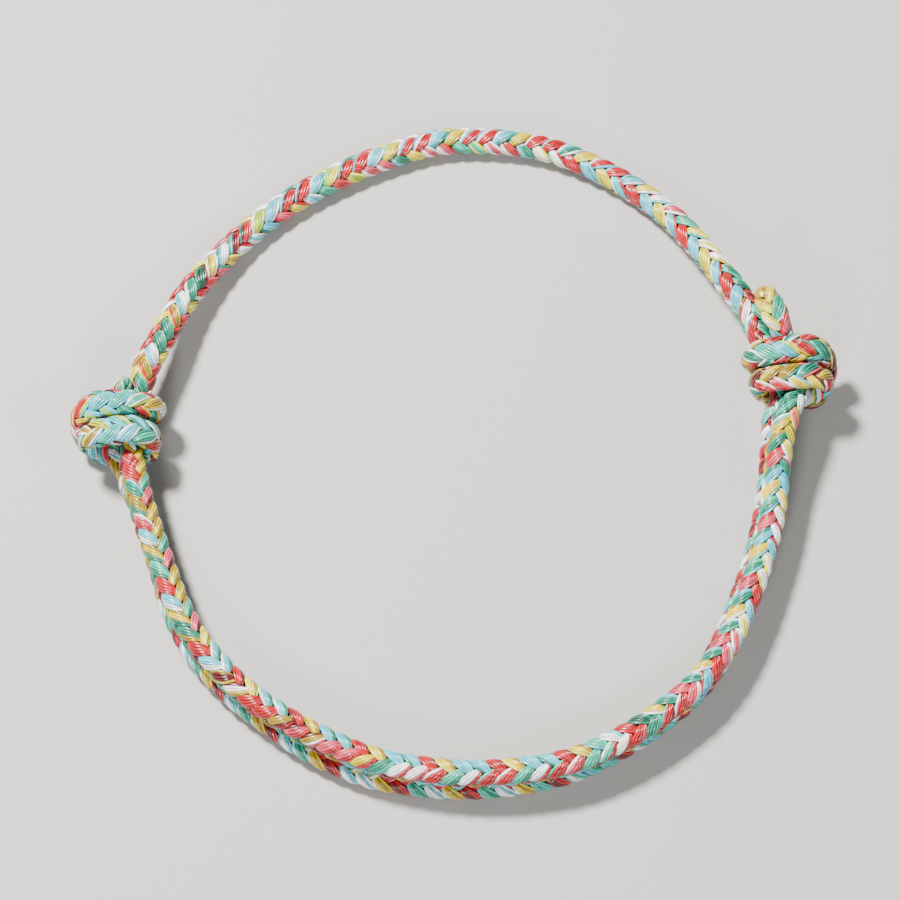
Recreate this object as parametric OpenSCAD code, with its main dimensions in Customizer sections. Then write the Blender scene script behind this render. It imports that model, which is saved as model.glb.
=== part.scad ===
// Woven bracelet made of one length of round braided cord, in millimetres.
// The cord goes once round the loop and its two ends pass each other along the near side.
// Each end is wound twice round the other length and tucked under its own turns,
// so that the two knots slide and the loop opens or closes.
// The loop lies flat, +Z is up, and the origin is under the middle of the loop.

/* [Cord] */
// Thickness of the braided cord
cord_d = 2.7; // [2.5:0.1:2.7]
// Flat sides round the cord
cord_sides = 12; // [8:4:12]
// Gap between two pieces that are one cord on the real bracelet
piece_gap = 0.1; // [0.05:0.05:0.2]

/* [Double stretch] */
// Distance between the middles of the two lengths that lie together
pair_pitch = 2.8; // [2.8:0.1:3.2]

/* [Knots] */
// Height of the knots' middles above the surface
knot_height = 4.8; // [4.8:0.1:5.4]
// Place of the left knot across the loop
left_knot_x = -33.5; // [-36:0.1:-32]
// Place of the left knot along the loop
left_knot_y = 1.9; // [0:0.1:4]
// Turn of the left knot, clockwise seen from above, in degrees
left_knot_turn = 5; // [0:1:8]
// Place of the right knot across the loop
right_knot_x = 33.6; // [33.5:0.1:36]
// Place of the right knot along the loop
right_knot_y = 7.4; // [6:0.1:9]
// Turn of the right knot, clockwise seen from above, in degrees
right_knot_turn = -12; // [-15:1:-8]

/* [Hidden] */

cord_r = cord_d / 2;
// Cross sections made between two rows of a table
loop_steps = 2;
knot_steps = 3;
up = [0, 0, 1];

// A knot is its place, its turn, and 1 or -1 for the side on which the loop's outside lies
left_knot_frame = [left_knot_x, left_knot_y, left_knot_turn, -1];
right_knot_frame = [right_knot_x, right_knot_y, right_knot_turn, 1];
// Middle of the bundle inside a knot, as [outward, up]
bundle_middle = [-0.2, -0.4];

// Where the standing part goes into each knot.
// Columns here and in the knots' other tables are outward, along the cord, up,
// half width and half thickness.
left_entry = [
    [-1.8, -5.4, -2.75, 1.3, 1.25],
    [-1.2, -4.4, -2.35, 1.1, 1.0],
    [-0.1, -3.2, -1.85, 1.0, 0.85],
    [0.6, -2.0, -1.8, 1.1, 0.85]];
right_entry = [
    [-1.4, -4.3, 1.7, 1.25, 1.25],
    [-0.5, -3.3, 1.3, 1.1, 1.1],
    [0.5, -2.3, 0.15, 0.95, 0.95],
    [0.6, -1.4, -1.15, 1.0, 0.85]];

// Turns of each knot, the same knot drawn up a little differently.
// They go behind the other length, up on the inside and over the front,
// back round behind everything, over the front again and in beside the other length.
left_turns = [
    [0.8, -0.4, -1.9, 1.1, 0.85],
    [0.5, 1.2, -2.0, 1.2, 0.9],
    [-1.0, 2.1, -2.1, 1.3, 0.95],
    [-2.75, 2.2, -1.75, 1.3, 0.95],
    [-3.65, 1.9, -0.25, 1.3, 0.9],
    [-3.25, 1.7, 1.35, 1.2, 0.95],
    [-1.9, 1.65, 2.3, 1.2, 0.95],
    [0.0, 1.4, 2.6, 1.35, 1.0],
    [1.9, 1.1, 2.5, 1.4, 1.0],
    [3.3, 0.7, 1.5, 1.45, 0.95],
    [3.8, 0.1, -0.2, 1.4, 0.95],
    [3.4, -0.9, -2.0, 1.35, 0.9],
    [2.0, -1.7, -3.4, 1.3, 0.9],
    [0.2, -2.0, -3.75, 1.3, 0.9],
    [-1.8, -2.1, -2.9, 1.3, 0.95],
    [-3.2, -2.0, -1.5, 1.35, 0.95],
    [-3.65, -1.6, 0.1, 1.45, 0.9],
    [-3.1, -1.4, 1.65, 1.45, 0.95],
    [-1.6, -1.3, 2.4, 1.5, 0.95],
    [0.1, -1.65, 2.65, 1.5, 0.95],
    [1.5, -1.95, 2.5, 1.45, 0.95],
    [2.5, -2.2, 1.95, 1.3, 0.9],
    [2.9, -2.3, 1.1, 1.05, 0.85],
    [2.7, -1.9, 0.3, 0.95, 0.8],
    [2.1, -0.9, 0.0, 0.95, 0.8],
    [1.3, 0.3, 0.0, 0.9, 0.85],
    [0.7, 1.7, 0.2, 0.95, 0.85],
    [0.15, 2.8, 0.7, 0.85, 0.8]];
right_turns = [
    [0.8, -0.4, -1.9, 1.1, 0.85],
    [0.5, 1.2, -2.0, 1.2, 0.9],
    [-1.0, 2.0, -2.1, 1.3, 0.95],
    [-2.8, 2.2, -1.75, 1.3, 0.9],
    [-3.75, 2.2, -0.25, 1.3, 0.9],
    [-3.25, 2.1, 1.35, 1.3, 0.95],
    [-1.9, 1.85, 2.3, 1.4, 0.95],
    [0.0, 1.6, 2.6, 1.4, 1.0],
    [1.9, 1.4, 2.5, 1.4, 1.0],
    [3.3, 1.0, 1.5, 1.4, 0.95],
    [3.8, 0.3, -0.2, 1.4, 0.9],
    [3.3, -0.8, -2.0, 1.3, 0.9],
    [2.2, -1.6, -3.35, 1.3, 0.9],
    [0.3, -1.3, -3.75, 1.3, 0.9],
    [-1.8, -0.8, -2.95, 1.3, 0.95],
    [-3.1, -0.7, -1.5, 1.25, 0.95],
    [-3.65, -0.6, 0.1, 1.25, 0.9],
    [-3.1, -0.8, 1.65, 1.3, 0.95],
    [-1.6, -1.15, 2.4, 1.4, 0.95],
    [0.1, -1.4, 2.65, 1.4, 0.95],
    [1.5, -1.6, 2.5, 1.4, 0.95],
    [2.5, -1.9, 1.95, 1.25, 0.9],
    [2.9, -2.0, 1.1, 1.05, 0.85],
    [2.7, -1.7, 0.3, 0.95, 0.8],
    [2.1, -0.9, 0.0, 0.95, 0.8],
    [1.3, 0.3, 0.0, 0.9, 0.85],
    [0.7, 1.7, 0.3, 1.0, 0.9],
    [0.2, 3.0, 0.8, 1.0, 0.95]];

// The cut ends beyond the knots, whose tips are melted round
left_end_rows = [
    [-0.1, 3.5, 1.15, 0.85, 0.8],
    [-0.3, 4.1, 1.4, 0.75, 0.7],
    [-0.35, 4.5, 1.5, 0.35, 0.35]];
right_end_rows = [
    [-0.2, 4.3, 1.6, 1.2, 1.2],
    [-0.5, 5.6, 2.2, 1.4, 1.4],
    [-0.8, 7.0, 2.4, 1.4, 1.4],
    [-1.1, 8.0, 2.4, 1.15, 1.15],
    [-1.15, 8.6, 2.4, 0.5, 0.5]];

// The length that goes straight through each knot, squeezed by the turns
left_core = [
    [-1.95, -4.2, 0, 1.3, 1.3],
    [-1.65, -2.2, 0, 1.05, 1.05],
    [-1.65, 0, 0, 1.0, 1.0],
    [-1.6, 2.3, 0, 1.0, 1.0],
    [-1.9, 4.2, 0, 1.2, 1.2]];
right_core = [
    [-2.8, -4.4, -0.9, 1.25, 1.25],
    [-2.0, -3.0, -0.3, 1.05, 1.05],
    [-1.7, -1.6, 0, 1.0, 1.0],
    [-1.65, 0.2, 0, 1.0, 1.0],
    [-1.6, 2.3, 0, 1.0, 1.0],
    [-2.15, 4.2, 0, 1.2, 1.2]];

// Single stretch over the far side, left knot to right knot.
// Columns are x, y and the lift of the cord off the surface.
single_route = [
    [-30.8, 8.0, 3.6],
    [-29.4, 11.1, 3.1],
    [-27.3, 15.8, 1.9],
    [-24.5, 20.0, 0.8],
    [-21.0, 24.0, 0.1],
    [-17.0, 27.3, 0],
    [-12.5, 30.0, 0],
    [-7.5, 32.3, 0],
    [-2.0, 34.0, 0],
    [3.5, 34.2, 0],
    [9.0, 33.4, 0],
    [14.0, 31.4, 0],
    [18.5, 28.6, 0.1],
    [22.0, 25.4, 0.8],
    [25.0, 21.3, 2.0],
    [27.7, 17.0, 3.2],
    [29.4, 14.0, 3.7]];

// Double stretch along the near side, left knot to right knot, by the upper length.
// Columns are x, y, the lean and the lift of the lower length off the surface.
// At a lean of 90 degrees the lower length is straight under the upper one,
// below 90 it shows on the loop's outside and above 90 on its inside.
double_route = [
    [-31.2, -5.6, 90, 0.7],
    [-30.3, -8.4, 90, 0.3],
    [-29.0, -12.1, 90, 0],
    [-27.3, -16.6, 84, 0],
    [-25.0, -20.7, 82, 0],
    [-21.5, -24.7, 83, 0],
    [-17.8, -27.6, 82, 0],
    [-13.5, -30.1, 75, 0],
    [-8.5, -32.3, 74, 0],
    [-3.5, -33.4, 77, 0],
    [1.5, -33.8, 80, 0],
    [6.5, -33.5, 84, 0],
    [11.5, -32.5, 89, 0],
    [16.5, -30.2, 93, 0],
    [20.5, -27.5, 94, 0],
    [23.9, -24.5, 96, 0],
    [26.5, -20.8, 99, 0],
    [28.6, -16.2, 101, 0],
    [30.1, -11.9, 99, 0],
    [31.2, -7.9, 100, 0.2],
    [31.8, -3.6, 97, 0.8],
    [32.2, -0.2, 100, 1.8]];

function unit(v) = v / norm(v);
function reversed(rows) = [for (i = [len(rows) - 1 : -1 : 0]) rows[i]];

// Directions of a knot in the plane of the loop
function knot_along(k) = [sin(k[2]), cos(k[2])];
function knot_outward(k) = k[3] * [cos(k[2]), -sin(k[2])];

// A knot's row as a row of the whole cord: x, y, z, half width and half thickness
function knot_row(k, row) =
    let (xy = [k[0], k[1]] + row[0] * knot_outward(k) + row[1] * knot_along(k))
    [xy[0], xy[1], knot_height + row[2], row[3], row[4]];
function knot_rows(k, rows) = [for (row = rows) knot_row(k, row)];

// Direction in the plane that points out of the loop at one row of the double stretch
function double_outward(i) =
    let (
        before = double_route[max(i - 1, 0)],
        after = double_route[min(i + 1, len(double_route) - 1)],
        along = unit([after[0] - before[0], after[1] - before[1]])
    )
    [along[1], -along[0]];

function single_rows() = [for (row = single_route) [row[0], row[1], cord_r + row[2], cord_r, cord_r]];
function upper_rows() = [
    for (row = double_route)
    [row[0], row[1], cord_r + row[3] + pair_pitch * sin(row[2]), cord_r, cord_r]];
function lower_rows() = [
    for (i = [0 : len(double_route) - 1])
    let (
        row = double_route[i],
        xy = [row[0], row[1]] + pair_pitch * cos(row[2]) * double_outward(i)
    )
    [xy[0], xy[1], cord_r + row[3], cord_r, cord_r]];

// The whole cord from the right cut end to the left one, as the real one runs
stretches = [
    reversed(knot_rows(right_knot_frame, right_end_rows)),
    reversed(knot_rows(right_knot_frame, concat(right_entry, right_turns))),
    reversed(upper_rows()),
    knot_rows(left_knot_frame, left_core),
    single_rows(),
    reversed(knot_rows(right_knot_frame, right_core)),
    reversed(lower_rows()),
    knot_rows(left_knot_frame, concat(left_entry, left_turns)),
    knot_rows(left_knot_frame, left_end_rows)];
cord_rows = [for (stretch = stretches) for (row = stretch) row];

// First row of each stretch in the whole cord
function rows_before(n) = n == 0 ? 0 : rows_before(n - 1) + len(stretches[n - 1]);
right_turns_first = rows_before(1);
right_turns_last = rows_before(2) - 1;
single_first = rows_before(3);
single_last = rows_before(6) - 1;
left_turns_first = rows_before(7);
left_turns_last = rows_before(8) - 1;
cord_last = len(cord_rows) - 1;

// Row of the whole cord, carried on in a straight line past its ends
function cord_row(i) =
    i < 0 ? 2 * cord_rows[0] - cord_rows[1]
    : i > cord_last ? 2 * cord_rows[cord_last] - cord_rows[cord_last - 1]
    : cord_rows[i];

// Row on the smooth curve through the table's rows, at the share t after row i
function smooth_row(i, t) =
    let (a = cord_row(i - 1), b = cord_row(i), c = cord_row(i + 1), d = cord_row(i + 2))
    b + t * (c - a) / 2 + t * t * (2 * a - 5 * b + 4 * c - d) / 2
    + t * t * t * (3 * b - a - 3 * c + d) / 2;

function smooth_rows(first, last, steps) = [
    for (i = [first : last - 1]) for (k = [0 : steps - 1]) smooth_row(i, k / steps),
    cord_row(last)];

// Middle of the cord at a row, kept high enough for the cord to lie on the surface
function place(row) = [row[0], row[1], max(row[2], row[4])];

// Direction of the cord at one of its rows, so that two pieces meet there squarely
function row_direction(i) = unit(place(cord_row(i + 1)) - place(cord_row(i - 1)));

// Direction in which the cord is thin: up in the loop, out of the bundle in a knot
function thin_direction(k, p) =
    is_undef(k) ? up
    : let (
        outward = knot_outward(k),
        share = (p[0] - k[0]) * outward[0] + (p[1] - k[1]) * outward[1] - bundle_middle[0]
    )
    [share * outward[0], share * outward[1], p[2] - knot_height - bundle_middle[1]];

// One oval cross section of the cord
function ring(p, row, along, thin_hint) =
    let (
        thin = unit(thin_hint - (thin_hint * along) * along),
        wide = cross(along, thin)
    )
    [for (s = [0 : cord_sides - 1])
        let (angle = 360 * s / cord_sides)
        p + row[3] * cos(angle) * wide + row[4] * sin(angle) * thin];

// A piece of the cord between two rows of the whole cord, with flat ends.
// Each end that another piece carries on stands back by half the gap.
module cord_piece(first, last, steps, k = undef) {
    rows = smooth_rows(first, last, steps);
    end = len(rows) - 1;
    start_gap = first == 0 ? 0 : piece_gap / 2;
    end_gap = last == cord_last ? 0 : piece_gap / 2;
    points = [
        for (i = [0 : end])
        let (
            along = i == 0 ? row_direction(first)
                : i == end ? row_direction(last)
                : unit(place(rows[i + 1]) - place(rows[i - 1])),
            set_back = i == 0 ? start_gap : i == end ? -end_gap : 0,
            p = place(rows[i]) + set_back * along
        )
        each ring(p, rows[i], along, thin_direction(k, p))];
    sides = [
        for (i = [0 : end - 1]) for (s = [0 : cord_sides - 1])
        let (
            a = i * cord_sides + s,
            b = i * cord_sides + (s + 1) % cord_sides
        )
        each [[a, b, b + cord_sides], [a, b + cord_sides, a + cord_sides]]];
    start_cap = [for (s = [cord_sides - 1 : -1 : 0]) s];
    end_cap = [for (s = [0 : cord_sides - 1]) end * cord_sides + s];
    polyhedron(points, concat(sides, [start_cap, end_cap]));
}

// Single length over the far side, with its way through both knots
module single_cord() {
    color("#9ad4d6") cord_piece(single_first, single_last, loop_steps);
}

// Length on top in the double stretch
module upper_cord() {
    color("#d8404f") cord_piece(right_turns_last, single_first, loop_steps);
}

// Length underneath in the double stretch
module lower_cord() {
    color("#2f9a76") cord_piece(single_last, left_turns_first, loop_steps);
}

// Two turns and a tucked end round the other length
module left_knot() {
    color("#a9dbe6") cord_piece(left_turns_first, left_turns_last, knot_steps, left_knot_frame);
}

module right_knot() {
    color("#e6a0a6") cord_piece(right_turns_first, right_turns_last, knot_steps, right_knot_frame);
}

// Short melted ends that stand out of the knots
module left_cut_end() {
    color("#e8e4d8") cord_piece(left_turns_last, cord_last, knot_steps, left_knot_frame);
}

module right_cut_end() {
    color("#d9c24f") cord_piece(0, right_turns_first, knot_steps, right_knot_frame);
}

single_cord();
upper_cord();
lower_cord();
left_knot();
right_knot();
left_cut_end();
right_cut_end();
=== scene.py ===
# %% [markdown]
# # Woven cord bracelet
# The real thing is one length of round braided cord. It goes once round the loop, and each of its
# two ends is wound and tucked round the neighbouring length as a sliding knot.
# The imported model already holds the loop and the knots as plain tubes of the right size, in the
# right place. It is loaded as a frame that nothing here may move. The braid could be faked with
# bump on those tubes, but then the outline and the shadows would stay smooth. So each plain tube is
# replaced by the braid itself: eight strands of five threads in a round plait.

# %% The frame
import bpy
import bmesh
import math
import numpy as np
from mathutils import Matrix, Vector


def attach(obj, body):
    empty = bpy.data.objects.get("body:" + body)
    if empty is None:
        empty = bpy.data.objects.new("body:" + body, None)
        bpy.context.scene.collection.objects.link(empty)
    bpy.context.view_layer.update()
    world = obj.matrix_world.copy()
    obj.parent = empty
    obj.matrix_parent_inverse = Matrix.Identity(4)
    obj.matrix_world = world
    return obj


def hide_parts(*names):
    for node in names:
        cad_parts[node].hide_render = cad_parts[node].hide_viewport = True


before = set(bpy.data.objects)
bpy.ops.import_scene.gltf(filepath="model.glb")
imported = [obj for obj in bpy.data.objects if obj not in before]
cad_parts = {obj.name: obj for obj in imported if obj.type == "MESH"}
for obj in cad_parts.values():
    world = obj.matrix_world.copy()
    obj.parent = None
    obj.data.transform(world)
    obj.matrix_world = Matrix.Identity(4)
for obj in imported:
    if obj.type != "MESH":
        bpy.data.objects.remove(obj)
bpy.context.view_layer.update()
MM = 0.001
rng = np.random.default_rng(12)
print("frame loaded:", len(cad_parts), "nodes")

# %% [markdown]
# ## Camera
# The photograph looks down on the loop at 70 degrees from its near side. A camera could be aimed
# with a Track To constraint, but this one looks straight along +Y, so one turn about X is enough.
# Its angle of view follows from its distance and from the real width of the picture, at 0.1 mm
# for a pixel in the middle of the loop.

# %% Camera
CAMERA_ELEVATION = math.radians(70)
CAMERA_DISTANCE = 420
CAMERA_TARGET = np.array([-0.5, 0.4, 1.5])
IMAGE_PX = 900
MM_PER_PX = 0.1

camera_back = np.array([0, -math.cos(CAMERA_ELEVATION), math.sin(CAMERA_ELEVATION)])
camera_data = bpy.data.cameras.new("camera")
camera_data.sensor_fit = "HORIZONTAL"
camera_data.angle = 2 * math.atan(IMAGE_PX * MM_PER_PX / 2 / CAMERA_DISTANCE)
camera_data.clip_start = 0.01
camera = bpy.data.objects.new("camera", camera_data)
camera.location = Vector((CAMERA_TARGET + CAMERA_DISTANCE * camera_back) * MM)
camera.rotation_euler = (math.pi / 2 - CAMERA_ELEVATION, 0, 0)
bpy.context.scene.collection.objects.link(camera)
bpy.context.scene.camera = camera
print("camera at", tuple(round(v, 4) for v in camera.location))

# %% [markdown]
# ## Route of the cord
# The middle line of the cord is the one thing that all its other forms follow. It could be drawn as
# a curve in the viewport, but the braid has to lie exactly where the frame's tubes lie. So these
# tables repeat those of the solids, in millimetres: a few points for each stretch.
# The rows of a knot are outward, along the cord, up, half width and half thickness.

# %% Route tables
CORD_R = 1.35
# The two lengths of the near side lie this far apart, from middle to middle.
PAIR_PITCH = 2.8
# Height of the point that the rows of a knot are measured from.
KNOT_HEIGHT = 4.8
# Place of each knot, its turn in degrees and the side of the loop on which it lies.
LEFT_KNOT = dict(x=-33.5, y=1.9, turn=5, side=-1)
RIGHT_KNOT = dict(x=33.6, y=7.4, turn=-12, side=1)
# Middle of the bundle that the turns are drawn round, outward and up from the knot's point.
BUNDLE_MIDDLE = (-0.2, -0.4)

# Each knot has its way in, two turns with the tuck, the cut end, and the core: the other length's
# way through the middle.
LEFT_ENTRY = [
    [-1.8, -5.4, -2.75, 1.3, 1.25],
    [-1.2, -4.4, -2.35, 1.1, 1.0],
    [-0.1, -3.2, -1.85, 1.0, 0.85],
    [0.6, -2.0, -1.8, 1.1, 0.85]]
RIGHT_ENTRY = [
    [-1.4, -4.3, 1.7, 1.25, 1.25],
    [-0.5, -3.3, 1.3, 1.1, 1.1],
    [0.5, -2.3, 0.15, 0.95, 0.95],
    [0.6, -1.4, -1.15, 1.0, 0.85]]
LEFT_TURNS = [
    [0.8, -0.4, -1.9, 1.1, 0.85],
    [0.5, 1.2, -2.0, 1.2, 0.9],
    [-1.0, 2.1, -2.1, 1.3, 0.95],
    [-2.75, 2.2, -1.75, 1.3, 0.95],
    [-3.65, 1.9, -0.25, 1.3, 0.9],
    [-3.25, 1.7, 1.35, 1.2, 0.95],
    [-1.9, 1.65, 2.3, 1.2, 0.95],
    [0.0, 1.4, 2.6, 1.35, 1.0],
    [1.9, 1.1, 2.5, 1.4, 1.0],
    [3.3, 0.7, 1.5, 1.45, 0.95],
    [3.8, 0.1, -0.2, 1.4, 0.95],
    [3.4, -0.9, -2.0, 1.35, 0.9],
    [2.0, -1.7, -3.4, 1.3, 0.9],
    [0.2, -2.0, -3.75, 1.3, 0.9],
    [-1.8, -2.1, -2.9, 1.3, 0.95],
    [-3.2, -2.0, -1.5, 1.35, 0.95],
    [-3.65, -1.6, 0.1, 1.45, 0.9],
    [-3.1, -1.4, 1.65, 1.45, 0.95],
    [-1.6, -1.3, 2.4, 1.5, 0.95],
    [0.1, -1.65, 2.65, 1.5, 0.95],
    [1.5, -1.95, 2.5, 1.45, 0.95],
    [2.5, -2.2, 1.95, 1.3, 0.9],
    [2.9, -2.3, 1.1, 1.05, 0.85],
    [2.7, -1.9, 0.3, 0.95, 0.8],
    [2.1, -0.9, 0.0, 0.95, 0.8],
    [1.3, 0.3, 0.0, 0.9, 0.85],
    [0.7, 1.7, 0.2, 0.95, 0.85],
    [0.15, 2.8, 0.7, 0.85, 0.8]]
RIGHT_TURNS = [
    [0.8, -0.4, -1.9, 1.1, 0.85],
    [0.5, 1.2, -2.0, 1.2, 0.9],
    [-1.0, 2.0, -2.1, 1.3, 0.95],
    [-2.8, 2.2, -1.75, 1.3, 0.9],
    [-3.75, 2.2, -0.25, 1.3, 0.9],
    [-3.25, 2.1, 1.35, 1.3, 0.95],
    [-1.9, 1.85, 2.3, 1.4, 0.95],
    [0.0, 1.6, 2.6, 1.4, 1.0],
    [1.9, 1.4, 2.5, 1.4, 1.0],
    [3.3, 1.0, 1.5, 1.4, 0.95],
    [3.8, 0.3, -0.2, 1.4, 0.9],
    [3.3, -0.8, -2.0, 1.3, 0.9],
    [2.2, -1.6, -3.35, 1.3, 0.9],
    [0.3, -1.3, -3.75, 1.3, 0.9],
    [-1.8, -0.8, -2.95, 1.3, 0.95],
    [-3.1, -0.7, -1.5, 1.25, 0.95],
    [-3.65, -0.6, 0.1, 1.25, 0.9],
    [-3.1, -0.8, 1.65, 1.3, 0.95],
    [-1.6, -1.15, 2.4, 1.4, 0.95],
    [0.1, -1.4, 2.65, 1.4, 0.95],
    [1.5, -1.6, 2.5, 1.4, 0.95],
    [2.5, -1.9, 1.95, 1.25, 0.9],
    [2.9, -2.0, 1.1, 1.05, 0.85],
    [2.7, -1.7, 0.3, 0.95, 0.8],
    [2.1, -0.9, 0.0, 0.95, 0.8],
    [1.3, 0.3, 0.0, 0.9, 0.85],
    [0.7, 1.7, 0.3, 1.0, 0.9],
    [0.2, 3.0, 0.8, 1.0, 0.95]]
LEFT_END = [
    [-0.1, 3.5, 1.15, 0.85, 0.8],
    [-0.3, 4.1, 1.4, 0.75, 0.7],
    [-0.35, 4.5, 1.5, 0.35, 0.35]]
RIGHT_END = [
    [-0.2, 4.3, 1.6, 1.2, 1.2],
    [-0.5, 5.6, 2.2, 1.4, 1.4],
    [-0.8, 7.0, 2.4, 1.4, 1.4],
    [-1.1, 8.0, 2.4, 1.15, 1.15],
    [-1.15, 8.6, 2.4, 0.5, 0.5]]
LEFT_CORE = [
    [-1.95, -4.2, 0, 1.3, 1.3],
    [-1.65, -2.2, 0, 1.05, 1.05],
    [-1.65, 0, 0, 1.0, 1.0],
    [-1.6, 2.3, 0, 1.0, 1.0],
    [-1.9, 4.2, 0, 1.2, 1.2]]
RIGHT_CORE = [
    [-2.8, -4.4, -0.9, 1.25, 1.25],
    [-2.0, -3.0, -0.3, 1.05, 1.05],
    [-1.7, -1.6, 0, 1.0, 1.0],
    [-1.65, 0.2, 0, 1.0, 1.0],
    [-1.6, 2.3, 0, 1.0, 1.0],
    [-2.15, 4.2, 0, 1.2, 1.2]]
# Columns are x, y and the lift off the surface.
SINGLE_ROUTE = [
    [-30.8, 8.0, 3.6], [-29.4, 11.1, 3.1], [-27.3, 15.8, 1.9], [-24.5, 20.0, 0.8],
    [-21.0, 24.0, 0.1], [-17.0, 27.3, 0], [-12.5, 30.0, 0], [-7.5, 32.3, 0],
    [-2.0, 34.0, 0], [3.5, 34.2, 0], [9.0, 33.4, 0], [14.0, 31.4, 0], [18.5, 28.6, 0.1],
    [22.0, 25.4, 0.8], [25.0, 21.3, 2.0], [27.7, 17.0, 3.2], [29.4, 14.0, 3.7]]
# Columns are x, y, the lean and the lift of the lower length off the surface.
DOUBLE_ROUTE = [
    [-31.2, -5.6, 90, 0.7], [-30.3, -8.4, 90, 0.3], [-29.0, -12.1, 90, 0],
    [-27.3, -16.6, 84, 0], [-25.0, -20.7, 82, 0], [-21.5, -24.7, 83, 0],
    [-17.8, -27.6, 82, 0], [-13.5, -30.1, 75, 0], [-8.5, -32.3, 74, 0],
    [-3.5, -33.4, 77, 0], [1.5, -33.8, 80, 0], [6.5, -33.5, 84, 0], [11.5, -32.5, 89, 0],
    [16.5, -30.2, 93, 0], [20.5, -27.5, 94, 0], [23.9, -24.5, 96, 0],
    [26.5, -20.8, 99, 0], [28.6, -16.2, 101, 0], [30.1, -11.9, 99, 0],
    [31.2, -7.9, 100, 0.2], [31.8, -3.6, 97, 0.8], [32.2, -0.2, 100, 1.8]]
print("points by hand:", len(SINGLE_ROUTE), "on the far side,", len(DOUBLE_ROUTE), "on the near side")

# %% [markdown]
# ## The stretches in order
# A knot's rows are easiest to write in the knot's own directions, and the two lengths of the near
# side lie on each other like a pair of rails. So a small function sets a knot's rows in the loop,
# and another works out both rails from one table. Then the whole cord is strung together, from the
# right cut end to the left one.

# %% Stretches
def knot_axes(knot):
    turn = math.radians(knot["turn"])
    along = np.array([math.sin(turn), math.cos(turn)])
    outward = knot["side"] * np.array([math.cos(turn), -math.sin(turn)])
    return along, outward


def knot_rows(knot, rows):
    along, outward = knot_axes(knot)
    placed = []
    for out, far, up, half_width, half_thick in rows:
        x, y = np.array([knot["x"], knot["y"]]) + out * outward + far * along
        placed.append([x, y, KNOT_HEIGHT + up, half_width, half_thick])
    return placed


def single_rows():
    return [[x, y, CORD_R + lift, CORD_R, CORD_R] for x, y, lift in SINGLE_ROUTE]


def double_rows():
    """Rows of the upper and of the lower length."""
    table = np.array(DOUBLE_ROUTE, float)
    before = np.vstack([table[:1], table[:-1]])
    after = np.vstack([table[1:], table[-1:]])
    along = (after - before)[:, :2]
    along /= np.linalg.norm(along, axis=1)[:, None]
    outward = np.column_stack([along[:, 1], -along[:, 0]])
    lean = np.radians(table[:, 2])
    radius = np.full(len(table), CORD_R)
    low_z = CORD_R + table[:, 3]
    upper = np.column_stack([table[:, :2], low_z + PAIR_PITCH * np.sin(lean), radius, radius])
    low_xy = table[:, :2] + (PAIR_PITCH * np.cos(lean))[:, None] * outward
    lower = np.column_stack([low_xy, low_z, radius, radius])
    return upper.tolist(), lower.tolist()


upper_rows, lower_rows = double_rows()
# Columns are the stretch, its rows, and the knot whose bundle presses it flat, if any.
STRETCHES = [
    ("right_end", knot_rows(RIGHT_KNOT, RIGHT_END)[::-1], RIGHT_KNOT),
    ("right_knot", knot_rows(RIGHT_KNOT, RIGHT_ENTRY + RIGHT_TURNS)[::-1], RIGHT_KNOT),
    ("upper", upper_rows[::-1], None),
    ("left_core", knot_rows(LEFT_KNOT, LEFT_CORE), None),
    ("single", single_rows(), None),
    ("right_core", knot_rows(RIGHT_KNOT, RIGHT_CORE)[::-1], None),
    ("lower", lower_rows[::-1], None),
    ("left_knot", knot_rows(LEFT_KNOT, LEFT_ENTRY + LEFT_TURNS), LEFT_KNOT),
    ("left_end", knot_rows(LEFT_KNOT, LEFT_END), LEFT_KNOT)]
print("stretches:", [(name, len(rows)) for name, rows, _ in STRETCHES])

# %% [markdown]
# ## Smooth cord
# A real cord bends smoothly. One of Blender's own curves would too, but it gives no numbers to lay
# threads by. So a smooth curve is worked out through all the rows, with its half width and half
# thickness, in 24 short steps from each row to the next.

# %% Smooth cord
FINE = 24


def smooth_route(rows):
    rows = np.array(rows, float)
    rows = np.vstack([2 * rows[0] - rows[1], rows, 2 * rows[-1] - rows[-2]])
    t = (np.arange(FINE) / FINE)[:, None]
    parts = []
    for a, b, c, d in zip(rows[:-3], rows[1:-2], rows[2:-1], rows[3:]):
        curve = b + t * (c - a) / 2 + t**2 * (2 * a - 5 * b + 4 * c - d) / 2
        parts.append(curve + t**3 * (3 * b - a - 3 * c + d) / 2)
    return np.vstack(parts + [rows[-2:-1]])


def unit(v):
    return v / np.linalg.norm(v, axis=-1, keepdims=True)


all_rows = [row for _, rows, _ in STRETCHES for row in rows]
fine = smooth_route(all_rows)
# The cord can't sink into the surface: its middle stays at least half a thickness above it.
fine[:, 2] = np.maximum(fine[:, 2], fine[:, 4])
fine_s = np.r_[0, np.cumsum(np.linalg.norm(np.diff(fine[:, :3], axis=0), axis=1))]
print("cord", round(fine_s[-1], 1), "mm long through", len(all_rows), "rows")

# %% [markdown]
# ## Samples, piece by piece
# The frame's seven pieces are stretches of this one cord, and each has to begin exactly where the
# one before it ends, or the threads would show a step there. Even samples over the whole cord would
# miss those places. So samples about 0.25 mm apart are laid out piece by piece, and neighbours
# share the sample at their joint.

# %% Samples
SAMPLE_STEP = 0.25
row_starts = dict(zip([s[0] for s in STRETCHES], np.cumsum([0] + [len(s[1]) for s in STRETCHES])))
last_row = len(all_rows) - 1
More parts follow.
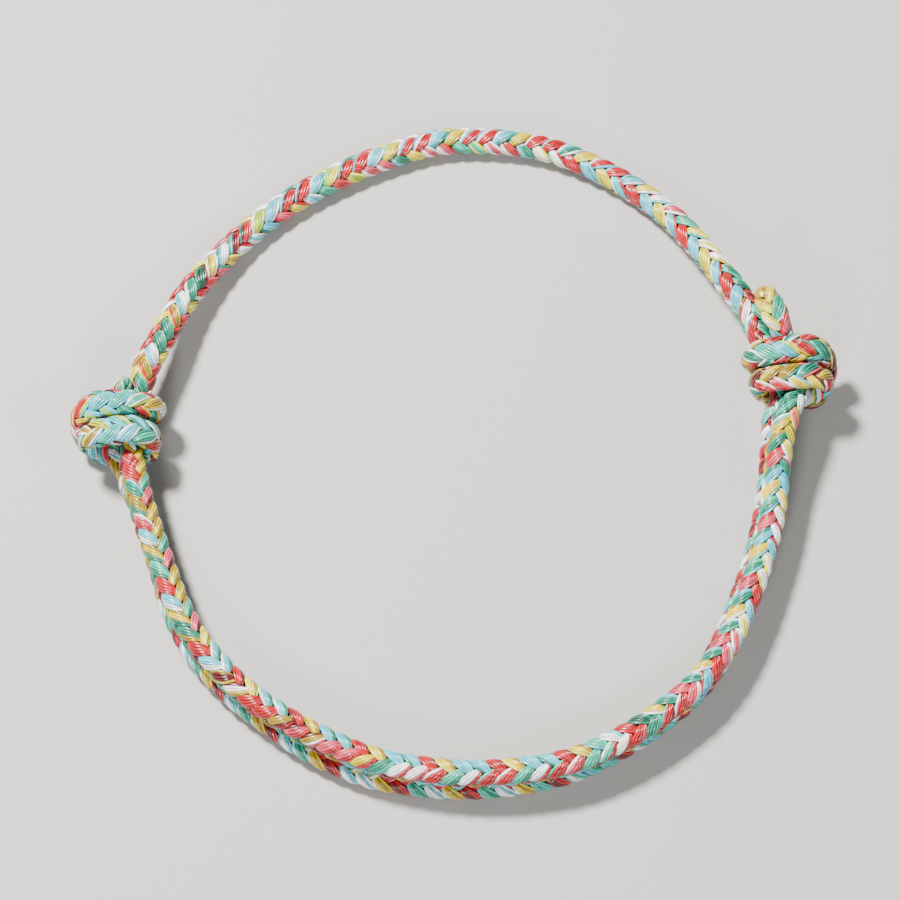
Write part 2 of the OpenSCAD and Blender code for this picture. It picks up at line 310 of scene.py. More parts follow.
# Columns are the piece, and the rows of the whole table at which it starts and ends.
CUTS = [
    ("right_cut_end", 0, row_starts["right_knot"]),
    ("right_knot", row_starts["right_knot"], row_starts["upper"] - 1),
    ("upper_cord", row_starts["upper"] - 1, row_starts["left_core"]),
    ("single_cord", row_starts["left_core"], row_starts["lower"] - 1),
    ("lower_cord", row_starts["lower"] - 1, row_starts["left_knot"]),
    ("left_knot", row_starts["left_knot"], row_starts["left_end"] - 1),
    ("left_cut_end", row_starts["left_end"] - 1, last_row)]

sample_s = [0.0]
cut_samples = {}
for name, first, last in CUTS:
    start, end = fine_s[first * FINE], fine_s[last * FINE]
    steps = max(2, round((end - start) / SAMPLE_STEP))
    cut_samples[name] = (len(sample_s) - 1, len(sample_s) - 1 + steps)
    sample_s.extend(np.linspace(start, end, steps + 1)[1:])
S = np.array(sample_s)
sample_row = np.interp(S, fine_s, np.arange(len(fine)) / FINE)
centre = np.column_stack([np.interp(S, fine_s, fine[:, k]) for k in range(3)])
half_width = np.interp(S, fine_s, fine[:, 3])
half_thick = np.interp(S, fine_s, fine[:, 4])
tangent = unit(np.gradient(centre, axis=0))
cord_length = S[-1]
print("samples:", len(S), "in", len(CUTS), "pieces")

# %% [markdown]
# ## Flat side
# Where the cord is pulled tight round the bundle in a knot, it is pressed flat like a strap. Its
# rings could be scaled one by one, but the flat side has to turn with the knot. So every sample
# keeps the direction in which the cord is thin: up in the loop, and out of the bundle in a knot.
# It is smoothed over a few samples, so that the flattening comes on gently.

# %% Flat side
SMOOTH_SAMPLES = 7
# Rows by which the flat side reaches past the first and the last row of a knot.
PAST_FIRST, PAST_LAST = 0.01, 0.5
thin = np.tile([0.0, 0.0, 1.0], (len(S), 1))
for name, rows, knot in STRETCHES:
    if knot is None:
        continue
    first = row_starts[name]
    last = first + len(rows) - 1
    inside = (sample_row >= first - PAST_FIRST) & (sample_row <= last + PAST_LAST)
    along, outward = knot_axes(knot)
    away = (centre[inside, :2] - [knot["x"], knot["y"]]) @ outward - BUNDLE_MIDDLE[0]
    rise = centre[inside, 2] - KNOT_HEIGHT - BUNDLE_MIDDLE[1]
    thin[inside] = np.column_stack([away[:, None] * outward, rise])
thin = unit(thin)
kernel = np.ones(SMOOTH_SAMPLES) / SMOOTH_SAMPLES
thin = np.pad(thin, ((SMOOTH_SAMPLES // 2,) * 2, (0, 0)), "edge")
thin = np.column_stack([np.convolve(thin[:, k], kernel, "valid") for k in range(3)])
thin = unit(thin - np.sum(thin * tangent, axis=1)[:, None] * tangent)
wide = np.cross(tangent, thin)
print("half thickness", round(half_thick.min(), 2), "to", round(half_thick.max(), 2), "mm")

# %% [markdown]
# ## A frame that doesn't twist
# The plait doesn't turn round the cord by itself where the cord bends. Directions taken from the
# bend would flip over wherever it changes side. Directions carried from sample to sample by two
# reflections stay as still as the fibres do, so the turn between them and the flat side is noted
# here, to be undone when the threads are laid.

# %% Steady frame
def reflected(v, across):
    return v - 2 / (across @ across) * (across @ v) * across


steady = np.zeros_like(centre)
steady[0] = wide[0]
for i in range(len(S) - 1):
    step = centre[i + 1] - centre[i]
    rest = tangent[i + 1] - reflected(tangent[i], step)
    steady[i + 1] = reflected(reflected(steady[i], step), rest)
steady = unit(steady)
other = np.cross(tangent, steady)
wide_turn = np.unwrap(np.arctan2(np.sum(wide * other, axis=1), np.sum(wide * steady, axis=1)))
print("the flat side turns", round(math.degrees(np.ptp(wide_turn))), "degrees round the cord")

# %% [markdown]
# ## How the plait lies
# A round plait of eight strands has four columns of slanting stitches, and four ridges between them
# where the stitches meet in arrowheads. A real cord is drawn out a little in places, and rolls a
# little as it is laid down. One stitch length and one roll for the whole loop would be simpler, but
# most arrowheads would then lie in the wrong place. So the first table counts the stitches of one
# column along the cord. The second says where the ridge that faces the camera lies: the turn from
# the loop's inside over the top, at places along a stretch.

# %% Ridge of the plait
# The ridge between the inner and the outer column, in degrees round the plait.
RIDGE = 135
# Stitches of one column over the whole cord, and the samples over which their count is smoothed.
STITCHES = 249
SMOOTH_COUNT = 17
# Columns are millimetres along the cord and the stitches counted up to there.
STITCH_COUNT = [
    (0, 0), (115.6, 68.9), (122.3, 72.8), (127.3, 75.6), (135.7, 80.3), (143.2, 84.5),
    (149.9, 88.2), (154.1, 90.5), (162.5, 95.6), (172.5, 102), (179.2, 106.1), (186.6, 110),
    (191.8, 113), (195.5, 115), (197.7, 116), (217.8, 128), (224.5, 131.9), (228.1, 134),
    (231.8, 136), (235.4, 138), (239.2, 140), (243, 142), (246.7, 144), (250.7, 146),
    (424, STITCHES)]
# Columns are the stretch, the share of its length and the turn of the ridge in degrees.
RIDGE_TURNS = [
    ("upper", 0.02, 105), ("upper", 0.158, 103), ("upper", 0.208, 95), ("upper", 0.249, 84),
    ("upper", 0.29, 85), ("upper", 0.34, 93), ("upper", 0.406, 99), ("upper", 0.54, 97),
    ("upper", 0.575, 90), ("upper", 0.65, 86), ("upper", 0.77, 85), ("upper", 0.83, 77),
    ("upper", 0.98, 79),
    ("single", 0.02, 34), ("single", 0.12, 38), ("single", 0.2, 43), ("single", 0.35, 48),
    ("single", 0.48, 50), ("single", 0.55, 56), ("single", 0.64, 66), ("single", 0.79, 81),
    ("single", 0.9, 88), ("single", 0.98, 108),
    ("lower", 0.03, 40), ("lower", 0.3, 30), ("lower", 0.5, 30), ("lower", 0.8, 14),
    ("lower", 0.97, 14)]


def stretch_span(name):
    first = row_starts[name]
    last = first + len(dict((s[0], s[1]) for s in STRETCHES)[name]) - 1
    return fine_s[first * FINE], fine_s[last * FINE]


roll_at, roll_deg = [], []
for name, share, turn in RIDGE_TURNS:
    start, end = stretch_span(name)
    place = start + share * (end - start)
    roll = turn - RIDGE - math.degrees(np.interp(place, S, wide_turn))
    if roll_deg:
        roll += 360 * round((roll_deg[-1] - roll) / 360)
    roll_at.append(place)
    roll_deg.append(roll)
roll = np.radians(np.interp(S, roll_at, roll_deg))
STITCH = cord_length / STITCHES
count = np.interp(S, *zip(*STITCH_COUNT))
padded = np.pad(count, SMOOTH_COUNT // 2, "reflect", reflect_type="odd")
count = np.convolve(padded, np.ones(SMOOTH_COUNT) / SMOOTH_COUNT, "valid")
print("ridge turns set at", len(roll_at), "places,", round(count[-1]), "stitches")

# %% [markdown]
# ## Colours of the threads
# The yarn is dyed in lengths before it is braided, so the cord's colours repeat every four stitches
# and change slowly. They could be painted on, but a braider writes such a repeat as a chart of
# letters, which is short and easy to change, and so does this cell. It was read off. Each row
# gives, from a stitch on, the round of four stitches that repeats: those with the numbers 0, 1, 2
# and 3 in each round. A stitch has four letters, for the quarters of its width.

# %% Colour chart
# Each letter has the name of its yarn and its colour.
YARNS = {
    "R": ("red", (0.38, 0.001, 0.005)), "C": ("crimson", (0.09, 0.000, 0.004)),
    "K": ("pink", (0.52, 0.05, 0.08)), "W": ("white", (0.82, 0.86, 0.88)),
    "B": ("sky_blue", (0.06, 0.42, 0.52)), "M": ("mint", (0.02, 0.39, 0.25)),
    "T": ("sea_green", (0.001, 0.17, 0.10)), "D": ("dark_green", (0.000, 0.055, 0.028)),
    "Y": ("yellow", (0.60, 0.45, 0.0)), "G": ("gold", (0.28, 0.18, 0.0)),
    "L": ("lime", (0.28, 0.42, 0.002)), "P": ("straw", (0.68, 0.62, 0.04))}
LETTERS = list(YARNS)
CORE_INDEX = len(LETTERS)
TIP_INDEX = len(LETTERS) + 1
# Columns are the stitch from which the row holds and the round of four stitches.
OUTER_CHART = [
    (0, "PPWP MBWW GYPG GYPP"), (4, "MBGY WYBP GYGP GYPG"), (8, "GGYC KTTB TGGG GGYG"),
    (12, "CCGG TMTM RCRK WKWW"), (16, "PTWR GYGC GGYC KRKW"), (20, "TMBM GYYG RKRK WMTW"),
    (24, "RCRR GYWP WMWB RKRT"), (27, "BMBB MMTM YLGM BBWM"), (29, "TMBM TTWW YGYW WBWW"),
    (34, "LGYL WPPW BBWW GYKP"),
    (38, "WPPW GYWW WKTT BBBB"), (42, "WPWP PWWP RRWW RRBB"), (46, "WWPW WWKW RRRR RRBB"),
    (50, "BBBR WWKK WWKK RRRR"), (54, "MMTT KKRR KRRW CRRM"), (58, "TMMM RRKW RRWW RRMW"),
    (62, "TTMM RRRW RRRM RRWW"), (70, "MMTT RRYY RKWW RKWW"), (74, "KWGC RRKC RRKK RRKK"),
    (78, "RRRR GYWC RCGG RRRR"), (82, "RRRR GGTT YCCG WWBB"), (86, "RRRR TTMM TTYG WWBB"),
    (92, "RRKW TTGG TTGY BBWW"), (94, "RKRR YGWM GTTB KRRR"), (99, "DTTM DTTM YRGY BBWW"),
    (108, "WTTM TDDC WGYW TBWW"), (112, "TBCR TCRK WLLP BBBW"), (116, "BCRR BCRR WBBM MLPP"),
    (120, "BCRR BRRR WBBW MYYG"), (124, "WBRK BWRR WBBT TYYG"), (132, "WRRK BRRR WBTW TYYP"),
    (136, "WKRB BRRK BTBW TYYW"), (140, "KWWB WKKW TTMM YYPM"), (144, "WWPW KWWY MTTM TMTD"),
    (148, "RRCR MBMT TDTM MBWM"), (172, "MTBM WKWW RRKR MBWM"), (182, "BBWB KRKW MTWL RRKR"),
    (192, "RRKR WLMW PWGT RRRC"), (206, "RRRC LYTM RRKR YLWG"), (217, "TMTM RRKR GYGY WBWW"),
    (224, "WYGP LWMW BBMB BMBB"), (228, "BYRR RYRK WKRK TTMT"), (232, "TTMB TBBW BBMB BTBM"),
    (236, "RCYG WRRG WTMT WBBW"), (240, "BBMB BWGP TWMB BMWB"), (245, "GYBW WKWK CKWP GYGP"),
    (247, "WTMW TTMT TWDM MTTW")]
INNER_CHART = [
    (0, "GYPG MTMW RKKR BMYG"), (4, "MBMW RKRW CPYP BYYW"), (8, "WKRK WRRR WTTB GYGW"),
    (12, "PYGY RKRW WBWM CRCG"), (16, "MTBM CRRC CRCP MDTM"), (20, "TRRY YMBB BMMM WTTW"),
    (24, "GYGY TMTM RRCR PYWP"), (27, "MBBM BMMB BYLM MBBW"),
    (29, "WWKW KRKW MTMB WBWW"), (31, "CRCM MTMT YLMB MBTM"), (34, "GGTT RRKK TTMT WBYY"),
    (38, "MMTB RRKK TTBB YYYB"), (46, "WBTM RRKK BBTT GYYW"), (56, "TTDT CRRR BBWW MMMB"),
    (60, "GGYP CRRR BBBT BBBB"), (74, "GGYG RRRC TTBB TTBB"), (78, "LGPP CCRR TTBW TTBW"),
    (85, "GGYG CCKK TTMG GGYG"), (97, "GRWW RRCR RRRK PYPY"), (104, "WWRR RRCR RRRK PYPG"),
    (108, "WWRR KKRK RKKT PYGP"), (112, "WWWR WWBW TTBB RRKK"), (116, "PYPR WWBW TTMM KRRK"),
    (120, "PYLP WWKK WWKK BBTT"), (124, "PLYP WWKW WWKR TTMM"), (128, "MPMP WWKW WWRR BBTT"),
    (132, "WPWP MWWR RRRR BBBB"), (136, "YLYP WBBR RRRR BBBB"), (148, "GRWW WBRR RRCR MBMB"),
    (172, "RRCR MBMB TMBT BMWM"), (182, "MTMB RRCR YGYW WBWW"), (192, "BBWB RRCR YGYW MTMW"),
    (206, "GYGY RRCR TMTM WBWW"), (217, "MBMT KRKR YGYG WWBW"), (224, "RRCR GYTM YRRC TMTM"),
    (228, "BBLB BBLB YYRR KWKW"), (232, "TTMB TBBW BBTB BTBM"), (236, "RCYG WWMW BTBT LYMB"),
    (240, "BBLY CWGW TMBW LYBM"),
    (245, "WBGY KWKC PWGY WBWK"), (247, "MWMT TTDW TWTM WTMM")]


def letter_table(chart):
    starts = np.array([start for start, _ in chart])
    assert np.all(np.diff(starts) > 0)
    return starts, np.array(
        [[[LETTERS.index(letter) for letter in stitch] for stitch in text.split()]
         for _, text in chart])


outer_chart = letter_table(OUTER_CHART)
inner_chart = letter_table(INNER_CHART)
print("colour rows:", len(OUTER_CHART), "and", len(INNER_CHART))

# %% [markdown]
# ## Threads
# Four strands wind one way round the cord and four the other, each over two and under two. A stitch
# is the stretch of a strand that lies on top. Its five threads lie side by side, arched, and close
# up to a point where the strand dips under. One stitch could be modelled, and repeated with an
# Array and a Curve modifier, but it would shear in the tight turns of the knots. Sine waves for the
# turn and the height of each thread follow any bend, so they are used here. The outer column and
# its opposite are wound the first way.

# %% Path of a thread
# Strands that wind one way, and threads in a strand.
STRANDS = 4
THREADS = 5
# In millimetres: how far a strand lies from the cord's middle, how much it rises and falls, how
# high its threads are arched and how far apart they lie.
MIDDLE_R = 1.035
RISE = 0.17
ARCH = 0.09
THREAD_GAP = 0.268
# On top a strand goes round the cord more slowly by this share, so stitches lie straighter.
EASE = 0.22
# The less, the steeper a strand dips under the next ones.
DIP = 0.35
# How fast the arch falls off to the outer threads, and how far before the top it begins.
SIDE_FALL = 1.6
ARCH_START = 0.3
# Width of a strand between over and under, what it gains on top, and where it is narrowest.
SPREAD, TOP_GAIN, NARROWEST = 0.62, 0.42, -0.4
SLANT = math.atan((1 - EASE) * math.pi * CORD_R / 2 / STITCH)


def strand_path(way, strand, thread):
    """Places along and round the cord, and radius of one thread."""
    turn = (strand + count if way > 0 else strand + 0.5 - count) * np.pi / 2
    over = way * np.cos(2 * turn)
    turn = turn - way * EASE / 2 * np.sin(2 * turn)
    share = (thread - (THREADS - 1) / 2) / (THREADS / 2)
    top = over / (np.abs(over) + DIP) * (1 + DIP)
    spread = SPREAD + TOP_GAIN * np.clip(over, NARROWEST, 1)
    offset = share * THREADS / 2 * THREAD_GAP * spread
    place = S - way * offset * math.sin(SLANT)
    turn = turn + offset * math.cos(SLANT) / CORD_R
    arch = ARCH * (1 - SIDE_FALL * share**2) * np.clip(over + ARCH_START, 0, 1)
    radius = MIDDLE_R + RISE * top + arch
    return place, turn, radius


print("strands slant", round(math.degrees(SLANT)), "degrees to the cord")

# %% [markdown]
# ## Colour of a thread
# In dyed yarn a colour fades into the next over a few millimetres. Here it changes at once, but
# only where the thread lies hidden under another strand, so every stitch has a clean colour. The
# place of the change differs a little from thread to thread. The first half millimetre of the cord
# is the melted tip, which has lost its dye.

# %% Colour of a thread
MELTED = 0.5
JITTER = 0.3
LETTERS_A_STITCH = 4


def thread_colours(way, strand, thread):
    """Slot of one thread at each sample."""
    first = (2 - strand if way > 0 else strand - 1) % STRANDS
    middle = first + (0 if way > 0 else 0.5)
    number = first + STRANDS * np.floor((count - middle + 1) / STRANDS).astype(int)
    starts, letters = outer_chart if way > 0 else inner_chart
    change = number + 0.5 + rng.uniform(-JITTER, JITTER)
    row = np.clip(np.searchsorted(starts, change, side="right") - 1, 0, len(starts) - 1)
    place = THREADS - 1 - thread if way > 0 else thread
    colour = letters[row, first, (LETTERS_A_STITCH * place + THREADS // 2) // THREADS]
    return np.where(S < MELTED, TIP_INDEX, colour)


print("melted tip:", MELTED, "mm")

# %% [markdown]
# ## Rings of a thread
# A curve with a bevel would give a tube too, but a round one that knows nothing of the cord. Filament
# yarn lies a little flat on the cord's surface, so the rings are laid out here: ovals of five
# points, wide along the surface, which shrink where a knot presses the cord thin.

# %% Rings of a thread
SIDES = 5
THREAD_R = 0.155
# A thread is this many times wider than a round one, and as many times thinner.
FLAT = 1.12


def along_cord(place, values):
    if values.ndim == 1:
        return np.interp(place, S, values)
    return np.column_stack([np.interp(place, S, values[:, k]) for k in range(values.shape[1])])


def thread_tube(way, strand, thread):
    """Rings of points and the slot of each ring for one thread over the whole cord."""
    place, turn, radius = strand_path(way, strand, thread)
    near = np.clip(place, S[0], S[-1])
    angle = turn + along_cord(near, roll) + along_cord(near, wide_turn)
    width, thick = along_cord(near, half_width), along_cord(near, half_thick)
    ratio = (radius / CORD_R)[:, None]
    side = np.cos(angle)[:, None] * unit(along_cord(near, wide))
    lift = np.sin(angle)[:, None] * unit(along_cord(near, thin))
    middle = along_cord(near, centre)
    points = middle + ratio * (width[:, None] * side + thick[:, None] * lift)
    direction = unit(np.gradient(points, axis=0))
    out = unit(side + lift)
    out = unit(out - np.sum(out * direction, axis=1)[:, None] * direction)
    across = np.cross(direction, out)
    size = THREAD_R * np.sqrt(width * thick) / CORD_R
    ring = 2 * np.pi * np.arange(SIDES) / SIDES
    rings = points[:, None] + size[:, None, None] * (
        np.cos(ring)[None, :, None] * across[:, None] * FLAT
        + np.sin(ring)[None, :, None] * out[:, None] / FLAT)
    return rings, thread_colours(way, strand, thread)


tubes = [thread_tube(way, strand, thread)
         for way in (1, -1) for strand in range(STRANDS) for thread in range(THREADS)]
print("threads:", len(tubes))

# %% [markdown]
# ## Materials
# The yarn is glossy filament: a bundle of straight, shiny fibres, so it shows fine lines along the
# thread, shaded between the fibres and lit on them; here the shade and the sheen are painted into
# the colour. An image could carry the lines, but noise that is drawn out along the thread's own UV
# map follows every bend, at any zoom. U is the millimetres along the cord, and V goes once round the
# thread. A small class first lets shader maths be written like sums.

# %% Shader helpers
class Value:
    """A shader socket that can be added and multiplied like a number."""

    def __init__(self, tree, socket):
        self.tree = tree
        self.socket = socket

    def math(self, operation, other):
        return node(self.tree, "ShaderNodeMath", {"operation": operation}, {0: self, 1: other})

    def __add__(self, other):
        return self.math("ADD", other)

    def __mul__(self, other):
        return self.math("MULTIPLY", other)

    __radd__ = __add__
    __rmul__ = __mul__


def node(tree, kind, settings=None, inputs=None, output=0):
    """Makes a node, sets its settings, fills or links its inputs, and gives one output."""
    made = tree.nodes.new(kind)
    for key, value in (settings or {}).items():
        setattr(made, key, value)
    for key, value in (inputs or {}).items():
        if isinstance(value, Value):
            tree.links.new(value.socket, made.inputs[key])
        else:
            made.inputs[key].default_value = value
    return Value(tree, made.outputs[output]) if made.outputs else None


print("shader helpers ready")

# %% [markdown]
# ## Yarn, core and melted tip
# One material a colour keeps the dye easy to change. The noise mixes a deep and a light tone of the
# yarn: the deep tone is painted shade between the fibres and the light tone painted sheen on them.
# A slower noise varies the tone along the thread, partly as the dye does and partly as painted sheen.
# The noise also raises the fibres with bump, which would need far too many faces as real geometry. A
# light clear coat gives the satin shine. The core under the threads is dull, and the melted tip is
# smooth and golden.

# %% Materials
THREAD_GLOSS = {"Roughness": 0.3, "Coat Weight": 0.4, "Coat Roughness": 0.18}
# How much the fibres and the slow change of tone count in the painted shade and sheen, and what is
# taken off.
FIBRE_SHARE, TONE_SHARE, SHADE_SHIFT = 1.8, 1.2, -0.9
# How close the noise lies along and round the thread, for each millimetre and each turn.
FIBRE_SCALE, TONE_SCALE = (0.9, 9.0, 1.0), (1.1, 1.0, 1.0)
# The deep tone (painted shade, and darker dye) and the light tone (painted sheen, and lighter dye),
# from the yarn's own colour.
DEEP_SHARE = 0.22
LIGHT_SHARE, LIGHT_LIFT = 1.35, 0.01
# Height of the fibres in the bump, in millimetres.
FIBRE_HEIGHT = 0.05
CORE_COLOUR = (0.18, 0.24, 0.22)
TIP_COLOUR = (0.50, 0.31, 0.01)
# Numbers of a Mix node's sockets when it mixes colours: three inputs and the output.
MIX_FACTOR, MIX_DEEP, MIX_LIGHT, MIX_RESULT = 0, 6, 7, 2


def thread_material(name, colour, gloss=THREAD_GLOSS, lines=0.5):
    material = bpy.data.materials.new(name)
    material.use_nodes = True
    tree = material.node_tree
    tree.nodes.clear()
    place = node(tree, "ShaderNodeUVMap", {"uv_map": "UVMap"})
    stretch = node(tree, "ShaderNodeMapping", inputs={"Vector": place, "Scale": FIBRE_SCALE})
    fibre = node(tree, "ShaderNodeTexNoise", inputs={"Vector": stretch, "Scale": 1.0, "Detail": 2.0})
    slow = node(tree, "ShaderNodeMapping", inputs={"Vector": place, "Scale": TONE_SCALE})
    tone = node(tree, "ShaderNodeTexNoise", inputs={"Vector": slow, "Scale": 1.0, "Detail": 1.0})
    shade = fibre * FIBRE_SHARE + tone * TONE_SHARE + SHADE_SHIFT
    deep = tuple(DEEP_SHARE * part for part in colour)
    light = tuple(min(1.0, LIGHT_SHARE * part + LIGHT_LIFT) for part in colour)
    # Painted shade between the fibres, painted sheen on them and a slow change of tone, mixed into
    # the base colour.
    painted_shade_sheen_and_tone = node(tree, "ShaderNodeMix", {"data_type": "RGBA"},
               {MIX_FACTOR: shade, MIX_DEEP: (*deep, 1), MIX_LIGHT: (*light, 1)},
               output=MIX_RESULT)
    bump = node(tree, "ShaderNodeBump",
                inputs={"Height": fibre, "Strength": lines, "Distance": FIBRE_HEIGHT * MM})
    surface = node(tree, "ShaderNodeBsdfPrincipled",
                   inputs={"Base Color": painted_shade_sheen_and_tone, "Normal": bump, **gloss})
    node(tree, "ShaderNodeOutputMaterial", inputs={"Surface": surface})
    return material


thread_materials = [thread_material("yarn_" + name, colour) for name, colour in YARNS.values()]
core_material = thread_material("core", CORE_COLOUR, {"Roughness": 0.8}, lines=0.1)
tip_material = thread_material("melted_tip", TIP_COLOUR, {"Roughness": 0.35}, lines=0.1)
PIECE_MATERIALS = thread_materials + [core_material, tip_material]
print("materials:", len(PIECE_MATERIALS))

# %% [markdown]
# ## Walls and ends of a tube
# The rings are already in place, so a tube only needs faces between neighbours: quads for the wall,
# and one face that closes each end. A bmesh operator could bridge the rings pair by pair, but over
# 1,700 rings and 40 threads that would take minutes, and numpy takes a moment. Two layouts of the
# corners go with it: one in real millimetres for the fibre lines, and one that gives each thread a
# strip of its own, so that a bake has room for all of them.

# %% Tube
LANE = 1 / (2 * STRANDS * THREADS + 1)
# Shares of the bake layout that stay free at its ends and beside each strip.
END_MARGIN, STRIP_MARGIN = 0.02, 0.05
# Radius of an end cap: in the fibre layout, and along and across its strip in the bake layout.
CAP_R = 0.1
CAP_LONG, CAP_WIDE = 0.004, 0.2
# Each tube has its own place in the noise, this many units from the one before.
NOISE_STEP = 3


def tube_faces(rings, sides, base):
    i = np.arange(rings - 1)[:, None] * sides
    k = np.arange(sides)[None, :]
    after = (k + 1) % sides
    quads = np.stack([i + k, i + sides + k, i + sides + after, i + after], axis=-1)
    return quads.reshape(-1, 4) + base


def tube_part(rings, colours, sides, places, lane, base):
    """Wall quads and two end caps of a tube, with slots and both layouts of its corners."""
    lines, corners = len(rings) - 1, np.arange(sides)
    quads = tube_faces(len(rings), sides, base)
    start, end = np.repeat(places[:-1], sides), np.repeat(places[1:], sides)
    low = np.tile(corners, lines) / sides
    high = low + 1 / sides
    along = np.column_stack([start, end, end, start]).ravel()
    round_ = np.column_stack([low, low, high, high]).ravel()
    share = (along - places[0]) / (places[-1] - places[0])
    caps = np.stack([corners, (len(rings) - 1) * sides + corners[::-1]]) + base
    turn = 2 * np.pi * np.tile(corners, 2) / sides
    cap_side = np.repeat([0.0, 1.0], sides)
    cap_uv = np.column_stack([places[0] + CAP_R * np.cos(turn), 0.5 + CAP_R * np.sin(turn)])
    cap_bake = np.column_stack([
        END_MARGIN / 2 + (1 - END_MARGIN) * cap_side + CAP_LONG * np.cos(turn),
        LANE * (lane + 0.5) + CAP_WIDE * LANE * np.sin(turn)])
    wall_bake = np.column_stack([
        END_MARGIN + (1 - 2 * END_MARGIN) * share,
        LANE * (lane + STRIP_MARGIN + (1 - 2 * STRIP_MARGIN) * round_)])
    return {"points": rings.reshape(-1, 3), "faces": [*quads.tolist(), *caps.tolist()],
            "slots": np.append(np.repeat(colours[:-1], sides), colours[[0, -1]]),
            "uv": np.vstack([np.column_stack([along, round_]), cap_uv]) + (0, NOISE_STEP * lane),
            "bake": np.vstack([wall_bake, cap_bake])}


print("a thread's strip is", round(LANE, 4), "of the layout's height")

# %% [markdown]
# ## One mesh a piece
# Forty threads as objects of their own would be slow to handle, and none of them moves without the
# others. So all the tubes of a piece are joined in one mesh as it is made, where each face has the
# slot of its yarn.

# %% Mesh
def add_mesh(name, parts):
    """One object from the parts, with a material for each face and two layouts."""
    mesh = bpy.data.meshes.new(name)
    points = np.vstack([part["points"] for part in parts]) * MM
    mesh.from_pydata(points.tolist(), [], [face for part in parts for face in part["faces"]])
    mesh.polygons.foreach_set("material_index",
                              np.concatenate([part["slots"] for part in parts]).astype(np.int32))
    for layer_name, key in (("UVMap", "uv"), ("OFBake", "bake")):
        layer = mesh.uv_layers.new(name=layer_name)
        layer.data.foreach_set("uv", np.vstack([part[key] for part in parts]).ravel())
    for material in PIECE_MATERIALS:
        mesh.materials.append(material)
    mesh.polygons.foreach_set("use_smooth", np.ones(len(mesh.polygons), dtype=bool))
    mesh.update()
    piece = bpy.data.objects.new(name, mesh)
    bpy.context.scene.collection.objects.link(piece)
    return piece


print("slots in a mesh:", len(PIECE_MATERIALS))

# %% [markdown]
# ## Core
# Between the threads of a real braid only more thread shows. Modelled threads leave small gaps, so
# a plain tube fills the middle, deep enough to stay out of sight.

# %% Core
CORE_SHARE = 0.62
CORE_SIDES = 8


def core_rings(first, last):
    ring = 2 * np.pi * np.arange(CORE_SIDES) / CORE_SIDES
    part = slice(first, last + 1)
    across = (CORE_SHARE * half_width[part])[:, None, None] * wide[part][:, None]
    lift = (CORE_SHARE * half_thick[part])[:, None, None] * thin[part][:, None]
    return (centre[part][:, None] + np.cos(ring)[None, :, None] * across
            + np.sin(ring)[None, :, None] * lift)


print("core", round(2 * CORE_SHARE * CORD_R, 2), "mm thick")

# %% [markdown]
# ## Pieces
# The frame has a solid for each part that a maker would name: the two lengths of the near side, the
# single length of the far side, the two knots and their cut ends. The braid could be one long mesh,
# but then no part could be picked out. So each solid is replaced by its own stretch of all forty
# threads and the core, cut at the same samples. They ride on the one body, because a cord has no
# joint.

# %% Pieces
def braid_piece(name):
    first, last = cut_samples[name]
    places = S[first:last + 1]
    parts, base = [], 0
    core = core_rings(first, last)
    core_colours = np.where(places < MELTED, TIP_INDEX, CORE_INDEX)
    strips = [(rings[first:last + 1], colours[first:last + 1], SIDES) for rings, colours in tubes]
    for lane, (rings, colours, sides) in enumerate(strips + [(core, core_colours, CORE_SIDES)]):
        parts.append(tube_part(rings, colours, sides, places, lane, base))
        base += len(rings) * sides
    piece = add_mesh(name + "_braid", parts)
    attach(piece, "root")
    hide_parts(name)
    print(piece.name, "faces", len(piece.data.polygons))
    return piece


# Columns are the piece of the frame and its material slot.
PIECES = [("single_cord", "braided_cord"), ("upper_cord", "braided_cord"),
          ("lower_cord", "braided_cord"), ("left_knot", "braided_cord"),
          ("right_knot", "braided_cord"), ("left_cut_end", "cut_end"),
          ("right_cut_end", "cut_end")]
made = {name: braid_piece(name) for name, slot in PIECES}
print("pieces:", len(made), "faces in all:", sum(len(p.data.polygons) for p in made.values()))
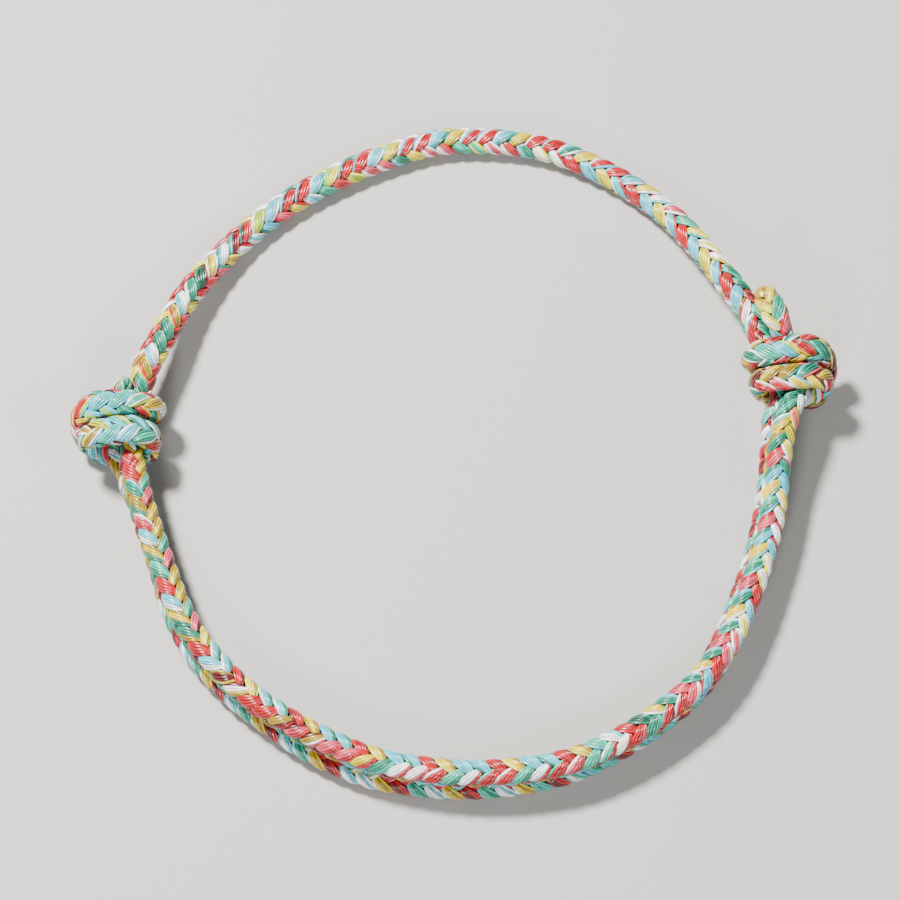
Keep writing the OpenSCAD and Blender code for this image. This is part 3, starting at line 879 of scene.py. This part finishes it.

# %% [markdown]
# ## Floor
# The bracelet lies on a plain pale floor, which catches its shadow. A shadow catcher would do too,
# but it gives no light back to the underside of the cord.

# %% Floor
FLOOR_SIZE = 3.0
FLOOR_COLOUR = (0.38, 0.37, 0.35, 1)
FLOOR_ROUGHNESS = 0.7


def floor_material():
    material = bpy.data.materials.new("floor")
    material.use_nodes = True
    surface = material.node_tree.nodes["Principled BSDF"]
    surface.inputs["Base Color"].default_value = FLOOR_COLOUR
    surface.inputs["Roughness"].default_value = FLOOR_ROUGHNESS
    return material


floor_form = bmesh.new()
bmesh.ops.create_grid(floor_form, x_segments=1, y_segments=1, size=FLOOR_SIZE / 2)
floor_mesh = bpy.data.meshes.new("floor")
floor_form.to_mesh(floor_mesh)
floor_form.free()
floor_mesh.materials.append(floor_material())
floor = bpy.data.objects.new("floor", floor_mesh)
bpy.context.scene.collection.objects.link(floor)
print("floor", FLOOR_SIZE, "m wide")

# %% [markdown]
# ## Lights
# Satin yarn needs a bright light that is small enough to make streaks on the threads, so the key
# light is only 70 mm wide, up on the left where the photograph has it. A sun would do that too, but
# with hard shadows. Two weaker lights and a pale sky keep the shadows soft.

# %% Lights
SKY_COLOUR = (0.9, 0.93, 1.0, 1)
SKY_STRENGTH = 0.15
# Columns are the name, the place in mm, the size in mm, the power in watts and the colour.
LIGHTS = [
    ("key", (-180, 160, 420), 70, 9.6, (1.0, 0.98, 0.95)),
    ("fill", (320, -160, 300), 200, 0.6, (0.95, 0.97, 1.0)),
    ("near", (-60, -320, 260), 80, 1.2, (1.0, 1.0, 1.0))]
for name, place, size, power, colour in LIGHTS:
    light = bpy.data.lights.new(name, "AREA")
    light.size = size * MM
    light.energy = power
    light.color = colour
    lamp = bpy.data.objects.new(name, light)
    lamp.location = Vector(place) * MM
    lamp.rotation_euler = (-lamp.location).to_track_quat("-Z", "Y").to_euler()
    bpy.context.scene.collection.objects.link(lamp)

world = bpy.data.worlds.new("world")
world.use_nodes = True
background = world.node_tree.nodes["Background"]
background.inputs["Color"].default_value = SKY_COLOUR
background.inputs["Strength"].default_value = SKY_STRENGTH
bpy.context.scene.world = world
print("lights:", len(LIGHTS), "and the sky")
